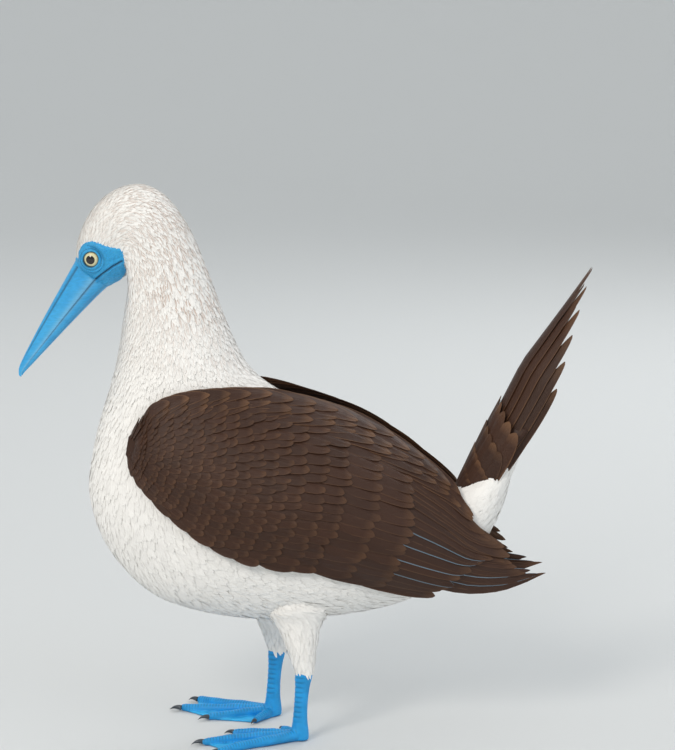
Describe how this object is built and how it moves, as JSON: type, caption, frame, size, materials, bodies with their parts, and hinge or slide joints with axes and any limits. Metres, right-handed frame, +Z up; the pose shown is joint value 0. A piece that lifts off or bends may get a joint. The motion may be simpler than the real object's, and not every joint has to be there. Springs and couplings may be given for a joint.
{
  "type": "blue-footed booby",
  "caption": "Blue-footed booby standing with wings folded and tail cocked, head bowed to look down past its bill at its webbed feet; a still, life-size bird for display.",
  "frame": {"origin": "on the floor under the middle of the bird's box", "axes": "+X towards the tail, the bird faces -X; +Y towards its right wing; +Z up"},
  "size_m": [0.4746, 0.176, 0.463],
  "materials": {
    "white_feathers": "soft white contour feathers, matt",
    "head_feathers": "narrow off-white feathers streaked with cinnamon brown, matt",
    "brown_feathers": "dark brown vaned feathers with paler edges, faint sheen",
    "bill": "slate-blue horn with a satin polish and fine lengthwise grain",
    "facial_skin": "bare slate-blue skin, finely pebbled",
    "eye": "wet cornea over a pale yellow iris and a dark pupil",
    "foot_skin": "bright blue webbed skin with small scales, satin",
    "claw": "dark grey horn, satin"
  },
  "bodies": {
    "root": {"head": "head_feathers", "neck": "white_feathers", "torso": "white_feathers", "face": "facial_skin", "eye_left": "eye", "eye_right": "eye", "bill_upper": "bill", "bill_lower": "bill", "wing_left": "brown_feathers", "wing_right": "brown_feathers", "tail": "brown_feathers", "shank_left": "white_feathers", "shank_right": "white_feathers", "tarsus_left": "foot_skin", "tarsus_right": "foot_skin", "foot_left": "foot_skin", "foot_right": "foot_skin", "claw_first_left": "claw", "claw_second_left": "claw", "claw_third_left": "claw", "claw_fourth_left": "claw", "claw_first_right": "claw", "claw_second_right": "claw", "claw_third_right": "claw", "claw_fourth_right": "claw"}
  },
  "joints": []
}
